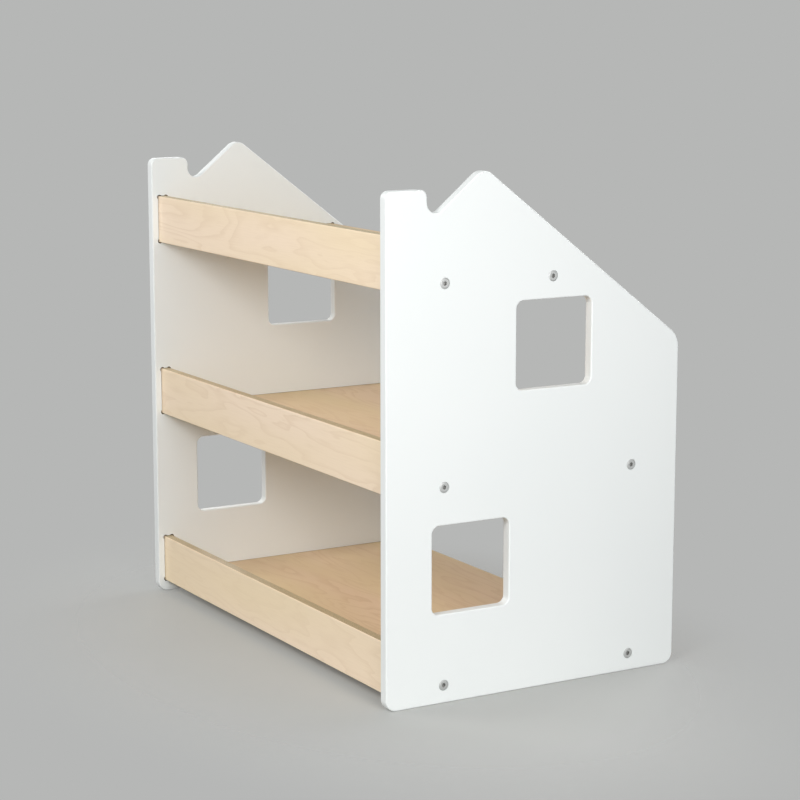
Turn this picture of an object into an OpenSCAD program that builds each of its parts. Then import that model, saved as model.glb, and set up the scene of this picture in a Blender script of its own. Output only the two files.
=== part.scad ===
// House-shaped bookcase for a child's room.
// Two painted side panels, cut to the outline of a house with a chimney, carry three plywood
// shelves. A plywood rail stands up in front of each shelf and keeps the books in. Shelves and
// rails are let into pockets milled in the panels' inner faces. Flush connector bolts pass
// through the panels into barrel nuts in the shelves, and dowels join each rail to its shelf.
// Frame: the origin is on the floor under the middle of the bookcase. +X points to the
// right-hand panel, +Y to the back and +Z up. All sizes are in millimetres.

/* [Side panels] */
// Clear width between the two side panels
inner_w = 738; // [640:1:1000]
// Depth of a side panel, from its front edge to its back edge
panel_depth = 485; // [440:1:560]
// Thickness of a side panel
panel_t = 16; // [14:0.5:25]
// Radius of the rounding along a panel's arrises
edge_r = 2; // [0.5:0.25:3]
// Radius of the two corners on the floor
foot_r = 16; // [5:1:17]

/* [Chimney and roof] */
// Height of the chimney's top above the top rail
chimney_rise = 60.5; // [40:0.5:120]
// Depth of the chimney, from the panel's front edge to the notch behind it
chimney_d = 64; // [50:1:75]
// Height above the top rail at which the roof's front slope would meet the chimney
valley_rise = 13; // [0:0.5:16]
// Height of the ridge above the top rail, before it is rounded
ridge_rise = 87; // [70:1:130]
// Distance of the ridge behind the panel's front edge
ridge_y = 154; // [130:1:190]
// Depth of the eave below the top rail, where the roof meets the panel's back edge
eave_drop = 166; // [140:1:200]
// Radius of the chimney's corners
chimney_r = 11; // [4:1:16]
// Radius at the bottom of the notch between chimney and roof
valley_r = 14; // [6:1:15]
// Radius of the ridge
ridge_r = 18; // [6:1:30]
// Radius of the eave
eave_r = 32; // [10:1:60]

/* [Windows] */
// Width and height of a window
window = 125; // [90:1:135]
// Radius of a window's corners
window_r = 11; // [5:1:20]
// Distance of the lower window's centre behind the panel's front edge
lower_window_y = 135.5; // [110:0.5:300]
// Height of the lower window's centre above the bottom shelf's underside
lower_window_rise = 171.5; // [150:0.5:190]
// Distance of the upper window's centre behind the panel's front edge
upper_window_y = 270; // [120:0.5:300]
// Height of the upper window's centre above the middle shelf's underside
upper_window_rise = 193.5; // [150:0.5:200]

/* [Shelves] */
// Thickness of a shelf
shelf_t = 15; // [15:0.5:20]
// Distance from one shelf to the next
shelf_pitch = 280; // [270:1:340]
// Height of the bottom shelf's underside above the floor
floor_gap = 18; // [14:1:40]
// Distance from the panel's back edge to the back edge of the bottom and middle shelves
back_gap = 16.5; // [8:0.5:30]
// Distance from the roof's slope to the back edge of the top shelf, along the shelf's top face
roof_gap = 14.5; // [10:0.5:30]

/* [Front rails] */
// Thickness of a rail
rail_t = 15; // [14:0.5:20]
// Height of a rail
rail_h = 74; // [50:1:90]
// Distance from the panel's front edge to a rail's front face
rail_setback = 11; // [8:0.5:20]
// Radius of the rounding along the open edges of rails and shelves
wood_edge_r = 1.5; // [0.5:0.25:3]

/* [Pockets] */
// Depth of the pockets in the panels' inner faces
pocket_d = 5; // [3:0.5:7]
// Gap between a shelf or rail and its pocket
pocket_play = 0.3; // [0.1:0.05:0.3]
// Radius of the cutter that relieves the pockets' corners
cutter_r = 4; // [2:0.5:5]

/* [Connector bolts] */
// Diameter of a bolt
bolt_d = 6; // [5:1:6]
// Length of a bolt under its head
bolt_l = 50; // [45:1:60]
// Width and length of the chamfer on a bolt's tip
tip_chamfer = 1; // [0.5:0.25:1.5]
// Gap between a bolt's tip and the end of its hole in the shelf
tip_gap = 1; // [0.5:0.5:5]
// Diameter of a bolt's head
head_d = 15; // [12:0.5:17]
// Thickness of a bolt's head
head_t = 2; // [1.5:0.25:3]
// Width of the bevel round a bolt's head
head_bevel_w = 1.8; // [1:0.2:2.4]
// Height of the bevel round a bolt's head
head_bevel_h = 0.6; // [0.2:0.1:1]
// Size of the hexagon socket across its flats
hex_size = 5; // [4:0.5:5]
// Depth of the hexagon socket
hex_depth = 4; // [3:0.5:5]
// Distance from a shelf's front edge to its front bolts
bolt_front = 66; // [50:1:90]
// Distance from a shelf's back edge to its rear bolts
bolt_rear = 63.5; // [40:0.5:80]
// Gap round a bolt, a bolt's head and a barrel nut in their holes
hole_play = 0.3; // [0.1:0.05:0.3]

/* [Barrel nuts] */
// Diameter of a barrel nut
nut_d = 10; // [9:0.5:12]
// Length of a barrel nut
nut_l = 12; // [10:0.5:12.5]
// Distance from a shelf's end to the middle of its barrel nuts
nut_inset = 34; // [28:1:36]
// Width of the screwdriver slot in a barrel nut
slot_w = 1.4; // [1:0.1:2]
// Depth of the screwdriver slot in a barrel nut
slot_depth = 1.5; // [1:0.1:2]
// Gap between the thread of a bolt and that of its nut
thread_play = 0.05; // [0.02:0.01:0.1]

/* [Dowels] */
// Number of dowels between a rail and its shelf
dowel_count = 4; // [2:1:6]
// Distance between neighbouring dowels
dowel_pitch = 130; // [80:1:130]
// Diameter of a dowel
dowel_d = 8; // [6:1:10]
// Length of a dowel
dowel_l = 30; // [25:1:40]
// Length of a dowel that is in the rail
dowel_in_rail = 10; // [8:0.5:12]
// Width of the chamfer on a dowel's ends
dowel_chamfer = 1; // [0.5:0.1:1.5]
// Gap between a dowel and its holes
dowel_play = 0.1; // [0.05:0.05:0.2]

/* [Hidden] */
$fn = 48;
// Largest angle between two neighbouring points of a rounded corner, in degrees
arc_step = 10;
// Number of steps in which a panel's arrises are rounded
edge_steps = 3;
// How far a cutting shape runs past the face that it opens
past = 1;
// Share of the cutter's radius by which a corner relief is centred inside the corner
relief_inset = 0.6;

panel_white = "#f3f4f2";
birch = "#e6cfa9";
beech = "#cfa878";
zinc = "#bfc1c0";

LEVELS = ["bottom", "middle", "top"];
SIDES = ["left", "right"];
PLACES = ["front", "rear"];
levels = [0 : len(LEVELS) - 1];
top = len(LEVELS) - 1;

front_y = -panel_depth / 2;
panel_x = inner_w / 2;
outer_x = panel_x + panel_t;
rail_y = front_y + rail_setback;
shelf_y = rail_y + rail_t;
wood_x = panel_x + pocket_d - pocket_play;

function level_z(level) = floor_gap + level * shelf_pitch;
crest_z = level_z(top) + rail_h;
ridge = [front_y + ridge_y, crest_z + ridge_rise];
eave = [-front_y, crest_z - eave_drop];

// Where the roof's rear slope is at a height, before the ridge and the eave are rounded
function roof_y(z) = eave.x - (z - eave.y) * (eave.x - ridge.x) / (ridge.y - eave.y);
function shelf_back(level) =
    level == top ? roof_y(level_z(top) + shelf_t) - roof_gap : -front_y - back_gap;

function bolt_y(level, place) =
    place == "front" ? shelf_y + bolt_front : shelf_back(level) - bolt_rear;
function bolt_z(level) = level_z(level) + shelf_t / 2;
nut_x = wood_x - nut_inset;
// How far a bolt's hole in the shelf runs past the middle of its nut
hole_past_nut = nut_x - (outer_x - head_t - bolt_l - tip_gap);
dowel_x = [for (i = [0 : dowel_count - 1]) (i - (dowel_count - 1) / 2) * dowel_pitch];

// ---- Outlines -------------------------------------------------------------------------------
// An outline runs anticlockwise and is drawn from its sharp corners and their radii.

function unit(v) = v / norm(v);

// Points of the rounded corner p between its neighbours a and b. The outline is drawn in by
// inset, which makes an outer corner's radius smaller and an inner corner's larger.
function corner(a, p, b, r, inset) =
    let (
        u = unit(a - p),
        w = unit(b - p),
        half = acos(u * w) / 2,
        turn = sign(cross(p - a, b - p)),
        centre = p + unit(u + w) * r / sin(half),
        from = p + u * r / tan(half) - centre,
        start = atan2(from.y, from.x),
        sweep = turn * (180 - 2 * half),
        steps = ceil(abs(sweep) / arc_step)
    )
    [for (i = [0 : steps]) centre + (r - turn * inset) * [
        cos(start + sweep * i / steps),
        sin(start + sweep * i / steps)
    ]];

// An outline's points, with a sharp corner where its radius is 0
function rounded(points, radii, inset = 0) =
    let (n = len(points))
    [for (i = [0 : n - 1])
        each radii[i] == 0 ? [points[i]]
            : corner(points[(i + n - 1) % n], points[i], points[(i + 1) % n], radii[i], inset)];

function box_points(low, high) = [low, [high.x, low.y], high, [low.x, high.y]];

house_points = [
    [front_y, 0],
    [-front_y, 0],
    eave,
    ridge,
    [front_y + chimney_d, crest_z + valley_rise],
    [front_y + chimney_d, crest_z + chimney_rise],
    [front_y, crest_z + chimney_rise]
];
house_radii = [foot_r, foot_r, eave_r, ridge_r, valley_r, chimney_r, chimney_r];

window_centres = [
    [front_y + lower_window_y, level_z(0) + lower_window_rise],
    [front_y + upper_window_y, level_z(1) + upper_window_rise]
];

// Turns a drawing in the plane of a side panel into a solid between two values of X
module across(x0, x1) {
    translate([x0, 0, 0])
        rotate([90, 0, 90])
            linear_extrude(x1 - x0)
                children();
}

// ---- Side panels ----------------------------------------------------------------------------

module house_face(inset) {
    half = [window, window] / 2;
    difference() {
        polygon(rounded(house_points, house_radii, inset));
        for (c = window_centres)
            polygon(rounded(box_points(c - half, c + half), window_r * [1, 1, 1, 1], -inset));
    }
}

// The plain panel. Each layer is thicker than the last and drawn in further, so that together
// they round the arrises of the outline and of the windows.
module house_board() {
    for (i = [0 : edge_steps]) {
        q = 90 * i / edge_steps;
        cover = edge_r * (1 - sin(q));
        across(panel_x + cover, outer_x - cover)
            house_face(edge_r * (1 - cos(q)));
    }
}

// Removes the material that a round cutter leaves in the pocket's corner at p. The corner
// points away from the pocket along dir.
module relief(p, dir) {
    translate(p - dir * cutter_r * relief_inset)
        circle(cutter_r);
}

// The L-shaped pocket of one level: an upright part for the rail's end and a long part behind
// it for the shelf's end
module pocket(level) {
    bottom = level_z(level) - pocket_play;
    rail_low = [rail_y - pocket_play, bottom];
    rail_high = [shelf_y + pocket_play, level_z(level) + rail_h + pocket_play];
    shelf_low = [shelf_y, bottom];
    shelf_high = [shelf_back(level) + pocket_play, level_z(level) + shelf_t + pocket_play];
    across(panel_x - past, panel_x + pocket_d) {
        polygon(box_points(rail_low, rail_high));
        polygon(box_points(shelf_low, shelf_high));
        relief(rail_low, [-1, -1]);
        relief([rail_low.x, rail_high.y], [-1, 1]);
        relief(rail_high, [1, 1]);
        relief(shelf_high, [1, 1]);
        relief([shelf_high.x, bottom], [1, -1]);
    }
}

// A bolt's hole through the panel, with the recess that holds its head flush
module panel_bolt_hole(level, place) {
    translate([0, bolt_y(level, place), bolt_z(level)])
        rotate([0, 90, 0]) {
            translate([0, 0, panel_x])
                cylinder(h = panel_t, d = bolt_d + 2 * hole_play);
            translate([0, 0, outer_x - head_t])
                cylinder(h = head_t + past, d = head_d + 2 * hole_play);
        }
}

module side_panel() {
    color(panel_white)
        difference() {
            house_board();
            for (level = levels) {
                pocket(level);
                for (place = PLACES)
                    panel_bolt_hole(level, place);
            }
        }
}

// ---- Shelves and rails ----------------------------------------------------------------------

// The holes for one connector bolt and its barrel nut in the right-hand end of a shelf
module shelf_bolt_holes(level, place) {
    translate([nut_x, bolt_y(level, place), bolt_z(level)]) {
        translate([-hole_past_nut, 0, 0])
            rotate([0, 90, 0])
                cylinder(h = hole_past_nut + nut_inset + past, d = bolt_d + 2 * hole_play);
        translate([0, 0, -shelf_t / 2 - past])
            cylinder(h = shelf_t / 2 + past + nut_l / 2 + hole_play, d = nut_d + 2 * hole_play);
    }
}

// The dowels' holes run this far past the face between rail and shelf, to each side
rail_hole_depth = dowel_in_rail + dowel_play;
shelf_hole_depth = dowel_l - dowel_in_rail + dowel_play;

module dowel_holes(level) {
    for (x = dowel_x)
        translate([x, shelf_y - rail_hole_depth, bolt_z(level)])
            rotate([-90, 0, 0])
                cylinder(h = rail_hole_depth + shelf_hole_depth, d = dowel_d + 2 * dowel_play);
}

module shelf(level) {
    low = [shelf_y, level_z(level)];
    high = [shelf_back(level), level_z(level) + shelf_t];
    color(birch)
        difference() {
            across(-wood_x, wood_x)
                polygon(rounded(box_points(low, high), wood_edge_r * [0, 1, 1, 0]));
            for (place = PLACES) {
                shelf_bolt_holes(level, place);
                mirror([1, 0, 0])
                    shelf_bolt_holes(level, place);
            }
            dowel_holes(level);
        }
}

module rail(level) {
    low = [rail_y, level_z(level)];
    high = [shelf_y, level_z(level) + rail_h];
    color(birch)
        difference() {
            across(-wood_x, wood_x)
                polygon(rounded(box_points(low, high), wood_edge_r * [1, 0, 1, 1]));
            dowel_holes(level);
        }
}

// ---- Fasteners ------------------------------------------------------------------------------

// A flat-headed connector bolt. Its head is flush with the face at x = 0 and its thread,
// drawn as a plain shank, runs along -X.
module connector_bolt() {
    straight = head_t + bolt_l - tip_chamfer;
    color(zinc)
        rotate([0, -90, 0])
            difference() {
                union() {
                    cylinder(h = head_bevel_h, d1 = head_d - 2 * head_bevel_w, d2 = head_d);
                    translate([0, 0, head_bevel_h])
                        cylinder(h = head_t - head_bevel_h, d = head_d);
                    cylinder(h = straight, d = bolt_d);
                    translate([0, 0, straight])
                        cylinder(h = tip_chamfer, d1 = bolt_d, d2 = bolt_d - 2 * tip_chamfer);
                }
                translate([0, 0, -past])
                    cylinder(h = past + hex_depth, d = hex_size / cos(30), $fn = 6);
            }
}

// A barrel nut, upright, with its threaded bore along X through the middle and a screwdriver
// slot in its lower end
module barrel_nut() {
    color(zinc)
        difference() {
            cylinder(h = nut_l, d = nut_d, center = true);
            rotate([0, 90, 0])
                cylinder(h = nut_d + 2 * past, d = bolt_d + 2 * thread_play, center = true);
            translate([0, 0, -nut_l / 2])
                cube([nut_d + 2 * past, slot_w, 2 * slot_depth], center = true);
        }
}

// A dowel with chamfered ends, along +Y from the bottom of its hole in the rail
module dowel() {
    color(beech)
        rotate([-90, 0, 0]) {
            cylinder(h = dowel_chamfer, d1 = dowel_d - 2 * dowel_chamfer, d2 = dowel_d);
            translate([0, 0, dowel_chamfer])
                cylinder(h = dowel_l - 2 * dowel_chamfer, d = dowel_d);
            translate([0, 0, dowel_l - dowel_chamfer])
                cylinder(h = dowel_chamfer, d1 = dowel_d, d2 = dowel_d - 2 * dowel_chamfer);
        }
}

// ---- Places ---------------------------------------------------------------------------------

// Draws what belongs on the right-hand side, or its mirror image on the left-hand side
module on_side(side) {
    mirror([side == "left" ? 1 : 0, 0, 0])
        children();
}

module placed_bolt(level, side, place) {
    on_side(side)
        translate([outer_x, bolt_y(level, place), bolt_z(level)])
            connector_bolt();
}

module placed_nut(level, side, place) {
    on_side(side)
        translate([nut_x, bolt_y(level, place), bolt_z(level)])
            barrel_nut();
}

module placed_dowel(level, i) {
    translate([dowel_x[i - 1], shelf_y - dowel_in_rail, bolt_z(level)])
        dowel();
}

for (side = SIDES)
    on_side(side) side_panel();

for (level = levels) {
    name = LEVELS[level];
    shelf(level);
    rail(level);
    for (side = SIDES, place = PLACES) {
        fastener = str(name, "_", side, "_", place);
        placed_bolt(level, side, place);
        placed_nut(level, side, place);
    }
    for (i = [1 : dowel_count])
        placed_dowel(level, i);
}
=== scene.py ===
# %% [markdown]
# # A house-shaped bookcase
# Two white side panels, cut to the outline of a house with a chimney, carry three shelves of
# birch plywood, each with a rail along its front. The lesson makes every part the way a small
# workshop would: saw the board, round its edges, mill the pockets, drill the holes, and then
# paint or varnish it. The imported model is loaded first, because it says where each part goes.

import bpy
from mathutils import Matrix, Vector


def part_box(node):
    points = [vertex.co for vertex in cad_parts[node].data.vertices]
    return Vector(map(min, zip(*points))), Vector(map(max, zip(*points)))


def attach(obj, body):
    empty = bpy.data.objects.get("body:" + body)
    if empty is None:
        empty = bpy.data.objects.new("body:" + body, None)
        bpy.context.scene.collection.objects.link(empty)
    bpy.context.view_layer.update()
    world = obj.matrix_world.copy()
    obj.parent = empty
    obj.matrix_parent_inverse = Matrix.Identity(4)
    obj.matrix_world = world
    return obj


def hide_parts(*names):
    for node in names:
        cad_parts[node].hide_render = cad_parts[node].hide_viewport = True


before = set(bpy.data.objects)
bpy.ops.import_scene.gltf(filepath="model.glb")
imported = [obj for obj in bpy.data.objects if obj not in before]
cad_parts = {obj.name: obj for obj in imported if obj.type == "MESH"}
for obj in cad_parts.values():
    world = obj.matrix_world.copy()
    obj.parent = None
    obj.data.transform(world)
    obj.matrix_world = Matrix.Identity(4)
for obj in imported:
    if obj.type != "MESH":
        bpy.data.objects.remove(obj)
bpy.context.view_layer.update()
print("packed parts:", len(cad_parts))

# %% [markdown]
# ## Camera
# The photograph was taken from the right-hand side, slightly above the bookcase, with a long
# lens. We place the camera first, so that every later step can be judged in the picture. It is
# tilted down a little and has no shift, so the bookcase stays in the middle from elsewhere too.

# %% Camera
from contextlib import contextmanager
from math import ceil, cos, pi, radians, sin, tan

import bmesh
import bpy
from mathutils import Vector

MM = 0.001
CAMERA_PLACE = (2.944, -1.707, 0.951)
CAMERA_TURN = radians(59.85)
CAMERA_TILT = radians(9.93)
CAMERA_LENS = 101.0
CAMERA_SENSOR = 36

bpy.ops.object.camera_add(
    location=CAMERA_PLACE,
    rotation=(radians(90) - CAMERA_TILT, 0, CAMERA_TURN),
)
camera = bpy.context.object
camera.data.sensor_width = CAMERA_SENSOR
camera.data.lens = CAMERA_LENS
bpy.context.scene.camera = camera
bpy.context.scene.view_settings.view_transform = "Standard"
print("camera height above the floor in mm:", CAMERA_PLACE[2] / MM)

# %% [markdown]
# ## Working by hand, in code
# An operator acts on whatever is selected, and the loaded parts start out selected. So each step
# selects just one piece, goes into edit mode, and picks points, edges or faces by where they
# are. These helpers keep the later cells short.

# %% Select, edit and pick
SAME = 0.01 * MM


def only(piece):
    """Select this piece and nothing else"""
    bpy.ops.object.select_all(action="DESELECT")
    piece.select_set(True)
    bpy.context.view_layer.objects.active = piece


@contextmanager
def editing(piece):
    """Edit mode for as long as the indented lines run"""
    only(piece)
    bpy.ops.object.mode_set(mode="EDIT")
    yield
    bpy.ops.object.mode_set(mode="OBJECT")


def pick(piece, kind, test):
    """In edit mode, select just the verts, edges or faces that pass the test"""
    bpy.ops.mesh.select_mode(type={"verts": "VERT", "edges": "EDGE", "faces": "FACE"}[kind])
    bpy.ops.mesh.select_all(action="DESELECT")
    mesh = bmesh.from_edit_mesh(piece.data)
    for item in getattr(mesh, kind):
        if test(item):
            item.select_set(True)
    mesh.select_flush_mode()
    bmesh.update_edit_mesh(piece.data)


def near(a, b):
    """True where two sizes are the same, to a hundredth of a millimetre"""
    return abs(a - b) < SAME


# %% [markdown]
# ## Stock and tools
# Every board starts as a block and every round piece as a bar. A scaled cube would do, but its
# scale would stay on the object and spoil each later bevel, so place, turn and scale are put
# into the mesh at once. The saw, the router and the drill are one thing here: an exact Boolean
# takes the tool's shape out of the piece, and then the tool is thrown away.

# %% Blocks, bars and cuts
def settle(piece):
    """Put the object's place, turn and scale into its mesh"""
    only(piece)
    bpy.ops.object.transform_apply(location=True, rotation=True, scale=True)


def block(name, low, high):
    """A plain block between two corners"""
    low = Vector(low)
    high = Vector(high)
    bpy.ops.object.select_all(action="DESELECT")
    bpy.ops.mesh.primitive_cube_add(size=1, location=(low + high) / 2)
    piece = bpy.context.object
    piece.name = name
    piece.scale = high - low
    settle(piece)
    return piece


def bar(name, start, end, radius, sides=48):
    """A plain round bar from one point to another"""
    along = Vector(end) - Vector(start)
    bpy.ops.object.select_all(action="DESELECT")
    bpy.ops.mesh.primitive_cylinder_add(
        vertices=sides,
        radius=radius,
        depth=along.length,
        location=Vector(start) + along / 2,
        rotation=along.to_track_quat("Z", "Y").to_euler(),
    )
    piece = bpy.context.object
    piece.name = name
    settle(piece)
    return piece


def cut(piece, tool):
    """Take the tool's shape out of the piece, as a router or a drill does"""
    only(piece)
    modifier = piece.modifiers.new("cut", "BOOLEAN")
    modifier.operation = "DIFFERENCE"
    modifier.solver = "EXACT"
    modifier.object = tool
    bpy.ops.object.modifier_apply(modifier=modifier.name)
    bpy.data.objects.remove(tool)


def show(piece):
    """Print a piece's size in millimetres and its number of faces"""
    low = [min(v.co[i] for v in piece.data.vertices) / MM for i in range(3)]
    high = [max(v.co[i] for v in piece.data.vertices) / MM for i in range(3)]
    size = " x ".join(f"{b - a:.1f}" for a, b in zip(low, high))
    print(f"{piece.name}: {size} mm, {len(piece.data.polygons)} faces")


# %% [markdown]
# ## Marking out the side panel
# Each side is one 16 mm board of MDF. The outline could be typed in as a list of points, but a
# maker marks a sheet and saws along the lines, and so do we. The chimney's top and the two
# slopes of the roof are marked first. Each line is a point on it and the way up from it, and
# it holds on its own side of the chimney only.

# %% Mark the saw lines
panel_low, panel_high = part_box("right_panel")
INNER = panel_low.x
OUTER = panel_high.x
FRONT = panel_low.y
BACK = panel_high.y
CHIMNEY_DEPTH = 64 * MM
CHIMNEY_TOP = 712.5 * MM
VALLEY = Vector((INNER, FRONT + CHIMNEY_DEPTH, 665 * MM))
RIDGE = Vector((INNER, FRONT + 154 * MM, 739 * MM))
EAVE = Vector((INNER, BACK, 486 * MM))


def square_to(start, end):
    """The direction in the board's plane that is square to a line and points up from it"""
    run = end - start
    return Vector((0, -run.z, run.y)).normalized()


def in_chimney(face):
    """Faces in front of the chimney's rear edge"""
    return face.calc_center_median().y < VALLEY.y


def in_roof(face):
    """Faces behind the chimney's rear edge"""
    return face.calc_center_median().y > VALLEY.y


saw_lines = [
    (in_chimney, Vector((INNER, FRONT, CHIMNEY_TOP)), Vector((0, 0, 1))),
    (in_roof, VALLEY, square_to(VALLEY, RIDGE)),
    (in_roof, RIDGE, square_to(RIDGE, EAVE)),
]
print("board thickness in mm:", round((OUTER - INNER) / MM, 2), "- saw lines:", len(saw_lines))

# %% [markdown]
# ## Sawing the side panel
# We start from a plain sheet and bisect it, first along the chimney's rear edge and then along
# each line. The offcuts are then deleted, and a limited dissolve takes out the lines that are
# left across the board.

# %% Saw the outline
def is_offcut(face):
    """Faces that lie above one of the lines on their side of the chimney"""
    middle = face.calc_center_median()
    return any(side(face) and (middle - point).dot(up) > 0 for side, point, up in saw_lines)


bpy.ops.object.select_all(action="DESELECT")
bpy.ops.mesh.primitive_plane_add(size=1, location=(INNER, 0, RIDGE.z / 2),
                                 rotation=(0, radians(90), 0))
right_panel = bpy.context.object
right_panel.name = "right_side_panel"
right_panel.scale = (RIDGE.z, BACK - FRONT, 1)
settle(right_panel)

with editing(right_panel):
    bpy.ops.mesh.select_all(action="SELECT")
    bpy.ops.mesh.bisect(plane_co=VALLEY, plane_no=(0, 1, 0))
    for side, point, up in saw_lines:
        pick(right_panel, "faces", side)
        bpy.ops.mesh.bisect(plane_co=point, plane_no=up)
    pick(right_panel, "faces", is_offcut)
    bpy.ops.mesh.delete(type="FACE")
    bpy.ops.mesh.select_all(action="SELECT")
    bpy.ops.mesh.dissolve_limited(angle_limit=radians(1))
show(right_panel)

# %% [markdown]
# ## Rounding the outline's corners
# A child's bookcase has no sharp corners, so each one gets its own radius. A vertex bevel does
# this. It measures how far the curve reaches along each edge, which is the radius divided by the
# tangent of half the corner's angle, and its profile is worked out so that the middle of the
# curve lies on the true circle.

# %% Round the corners
ARC_STEP = radians(6)
AT_CORNER = 0.1 * MM
FOOT_RADIUS = 16 * MM
CHIMNEY_RADIUS = 11 * MM
VALLEY_RADIUS = 14 * MM
RIDGE_RADIUS = 18 * MM
EAVE_RADIUS = 32 * MM
WINDOW_RADIUS = 11 * MM

house_corners = [
    (Vector((INNER, FRONT, 0)), FOOT_RADIUS),
    (Vector((INNER, BACK, 0)), FOOT_RADIUS),
    (EAVE, EAVE_RADIUS),
    (RIDGE, RIDGE_RADIUS),
    (VALLEY, VALLEY_RADIUS),
    (Vector((INNER, VALLEY.y, CHIMNEY_TOP)), CHIMNEY_RADIUS),
    (Vector((INNER, FRONT, CHIMNEY_TOP)), CHIMNEY_RADIUS),
]


def round_corner(piece, corner, before, after, radius):
    """Round one corner of a flat outline to a radius"""
    half = (before - corner).angle(after - corner) / 2
    middle = 1 - 1 / (2 * (1 + sin(half)))
    pick(piece, "verts", lambda v: (v.co - corner).length < AT_CORNER)
    bpy.ops.mesh.bevel(
        affect="VERTICES",
        offset=radius / tan(half),
        segments=ceil((pi - 2 * half) / ARC_STEP),
        profile=middle * middle,
        clamp_overlap=False,
    )


with editing(right_panel):
    for i, (corner, radius) in enumerate(house_corners):
        before = house_corners[i - 1][0]
        after = house_corners[(i + 1) % len(house_corners)][0]
        round_corner(right_panel, corner, before, after, radius)
show(right_panel)

# %% [markdown]
# ## From outline to board
# Extruding the outline gives the board its thickness. The windows could be drawn into the
# outline, but a workshop cuts them last, with a router that follows a template. So a block
# whose four long edges have been bevelled is cut out of the board. A bevel profile of 0.5 is
# a quarter of a circle. The block reaches a little past both faces, because a Boolean is
# unsure about faces that only touch.

# %% Thickness and windows
WINDOW = 125 * MM
LOWER_WINDOW = Vector((0, -107, 189.5)) * MM
UPPER_WINDOW = Vector((0, 27.5, 491.5)) * MM
PAST = 5 * MM
ROUND = 0.5


def window_block(centre):
    """A block as large as a window, with rounded corners, that reaches through the board"""
    reach = Vector((0, WINDOW / 2, WINDOW / 2))
    tool = block("window", centre - reach + Vector((INNER - PAST, 0, 0)),
                 centre + reach + Vector((OUTER + PAST, 0, 0)))
    with editing(tool):
        pick(tool, "edges", lambda edge: abs(edge.verts[0].co.x - edge.verts[1].co.x) > PAST)
        bpy.ops.mesh.bevel(offset=WINDOW_RADIUS, segments=ceil(radians(90) / ARC_STEP),
                           profile=ROUND)
    return tool


with editing(right_panel):
    bpy.ops.mesh.select_all(action="SELECT")
    bpy.ops.mesh.extrude_region_move(TRANSFORM_OT_translate={"value": (OUTER - INNER, 0, 0)})
    bpy.ops.mesh.select_all(action="SELECT")
    bpy.ops.mesh.normals_make_consistent(inside=False)
for centre in (LOWER_WINDOW, UPPER_WINDOW):
    cut(right_panel, window_block(centre))
show(right_panel)

# %% [markdown]
# ## Rounding over the arrises
# An arris is the sharp line where a flat face meets the board's edge. A small router bit has
# rounded it over by 2 mm on both faces, windows included, which gives the thin highlight along
# the whole outline. The edges could be clicked one by one, but a test finds them all: they lie
# in a flat face, and the two faces that meet there turn sharply.

# %% Round over the arrises
ARRIS_RADIUS = 2 * MM
ARRIS_TURN = radians(60)


def is_arris(edge):
    """An edge that lies in a flat face of the board, where it turns to the board's edge"""
    in_face = any(all(near(v.co.x, x) for v in edge.verts) for x in (INNER, OUTER))
    return in_face and edge.calc_face_angle(0) > ARRIS_TURN


with editing(right_panel):
    pick(right_panel, "edges", is_arris)
    bpy.ops.mesh.bevel(offset=ARRIS_RADIUS, segments=4, profile=ROUND, loop_slide=False,
                       clamp_overlap=False)
show(right_panel)

# %% [markdown]
# ## Pockets
# The shelves and rails aren't only screwed on. They are let into pockets 5 mm deep, and the
# round cutter overruns the pockets' corners so that the square boards go right in. Those small
# round reliefs are what shows as dark dots at the ends of each rail. One box is milled for the
# rail and one for the shelf. The real play round a board is about 0.3 mm, too little to show,
# so it is drawn at 0.5 mm, and the joints read as thin dark lines.

# %% Mill the pockets
POCKET_DEPTH = 5 * MM
PLAY = 0.5 * MM
CUTTER_RADIUS = 4 * MM
RELIEF_INSET = 2.4 * MM
LEVELS = ("bottom", "middle", "top")
floor_of_pocket = INNER + POCKET_DEPTH


def mill_box(panel, low_y, low_z, high_y, high_z):
    """Mill a flat-bottomed pocket into the panel's inner face"""
    cut(panel, block("router", (INNER - PAST, low_y, low_z), (floor_of_pocket, high_y, high_z)))


def mill_relief(panel, y, z):
    """Let the round cutter overrun a corner of the pocket"""
    cut(panel, bar("cutter", (INNER - PAST, y, z), (floor_of_pocket, y, z), CUTTER_RADIUS,
                   sides=32))


for level in LEVELS:
    rail_low, rail_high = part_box(level + "_rail")
    shelf_low, shelf_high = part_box(level + "_shelf")
    bottom = rail_low.z - PLAY
    rail_top = rail_high.z + PLAY
    rail_front = rail_low.y - PLAY
    rail_back = rail_high.y + PLAY
    shelf_top = shelf_high.z + PLAY
    shelf_back = shelf_high.y + PLAY
    mill_box(right_panel, rail_front, bottom, rail_back, rail_top)
    mill_box(right_panel, shelf_low.y, bottom, shelf_back, shelf_top)
    mill_relief(right_panel, rail_front + RELIEF_INSET, bottom + RELIEF_INSET)
    mill_relief(right_panel, rail_front + RELIEF_INSET, rail_top - RELIEF_INSET)
    mill_relief(right_panel, rail_back - RELIEF_INSET, rail_top - RELIEF_INSET)
    mill_relief(right_panel, shelf_back - RELIEF_INSET, bottom + RELIEF_INSET)
    mill_relief(right_panel, shelf_back - RELIEF_INSET, shelf_top - RELIEF_INSET)
show(right_panel)

# %% [markdown]
# ## Bolt holes in the panel
# Two bolts a shelf pass through the board, and their heads are sunk flush with its outer face.
# A drill makes the hole and a wider one the flat recess for the head. Both are bars, cut out on
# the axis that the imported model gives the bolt, so that bolt and hole are sure to meet.

# %% Drill the bolt holes
PLACES = ("front", "rear")
HEAD_THICKNESS = 2 * MM
HOLE_RADIUS = 3.3 * MM
RECESS_RADIUS = 7.8 * MM


def middle_of(node):
    """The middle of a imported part"""
    low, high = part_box(node)
    return (low + high) / 2


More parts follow.
